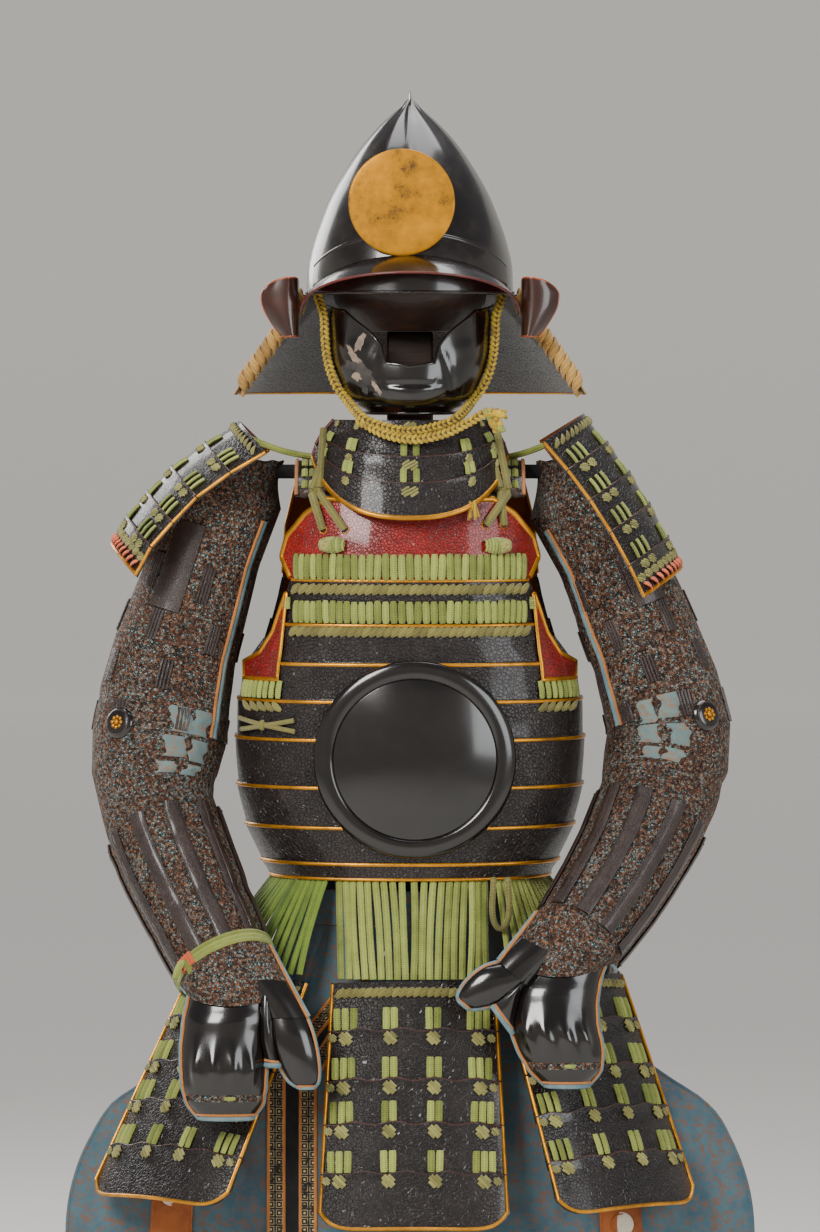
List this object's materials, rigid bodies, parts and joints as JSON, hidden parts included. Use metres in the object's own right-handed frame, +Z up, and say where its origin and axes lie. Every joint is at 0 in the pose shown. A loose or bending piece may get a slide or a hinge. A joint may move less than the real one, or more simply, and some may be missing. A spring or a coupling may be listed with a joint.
{
  "type": "samurai armour on a display stand",
  "caption": "Laced samurai armour with pointed helmet, half mask, mail sleeves, tassets and thigh apron, worn-shaped on a wooden stand.",
  "frame": {"origin": "centre of the stand's underside, on the floor", "axes": "+Z up, the front of the armour faces -Y, the viewer's left is -X"},
  "size_m": [0.742, 0.4441, 1.552],
  "materials": {
    "black_lacquer": "gloss",
    "brown_lacquer": "satin",
    "red_lacquer": "satin",
    "gilt": "worn",
    "lacing": "matte",
    "yellow_cord": "matte",
    "blue_cloth": "matte",
    "strap_leather": "satin",
    "horn": "polished",
    "stand_wood": "satin",
    "stand_cloth": "matte"
  },
  "bodies": {
    "root": {"stand_base": "stand_wood", "stand_post": "stand_wood", "stand_neck": "stand_wood", "stand_crossbar": "stand_cloth", "stand_waist_bar": "stand_wood", "stand_head_block": "stand_wood", "helmet_bowl": "black_lacquer", "helmet_peak": "black_lacquer", "helmet_disc": "gilt", "helmet_turnback_left": "brown_lacquer", "helmet_turnback_right": "brown_lacquer", "neck_guard": "black_lacquer", "helmet_cord": "yellow_cord", "mask": "black_lacquer", "throat_guard": "brown_lacquer", "cuirass_front": "brown_lacquer", "cuirass_back": "brown_lacquer", "chest_plate": "red_lacquer", "back_plate": "red_lacquer", "chest_lacing": "lacing", "front_lacing": "lacing", "side_panel_left": "red_lacquer", "side_panel_right": "red_lacquer", "front_roundel": "black_lacquer", "strap_left": "brown_lacquer", "strap_right": "brown_lacquer", "guard_cord_left": "lacing", "guard_cord_right": "lacing", "toggle_left": "horn", "toggle_right": "horn", "shoulder_guard_left": "brown_lacquer", "shoulder_guard_right": "brown_lacquer", "sleeve_left": "blue_cloth", "sleeve_right": "blue_cloth", "elbow_disc_left": "black_lacquer", "elbow_disc_right": "black_lacquer", "hand_guard_left": "black_lacquer", "hand_guard_right": "black_lacquer", "thumb_plate_left": "black_lacquer", "thumb_plate_right": "black_lacquer", "tasset_centre": "brown_lacquer", "tasset_front_left": "brown_lacquer", "tasset_front_right": "brown_lacquer", "tasset_side_left": "brown_lacquer", "tasset_side_right": "brown_lacquer", "tasset_back_left": "brown_lacquer", "tasset_back_right": "brown_lacquer", "suspension_centre": "lacing", "suspension_front_left": "lacing", "suspension_front_right": "lacing", "suspension_side_left": "lacing", "suspension_side_right": "lacing", "suspension_back_left": "lacing", "suspension_back_right": "lacing", "apron_left": "blue_cloth", "apron_right": "blue_cloth", "apron_belt": "blue_cloth", "apron_strap_left": "strap_leather", "apron_strap_right": "strap_leather"}
  },
  "joints": []
}
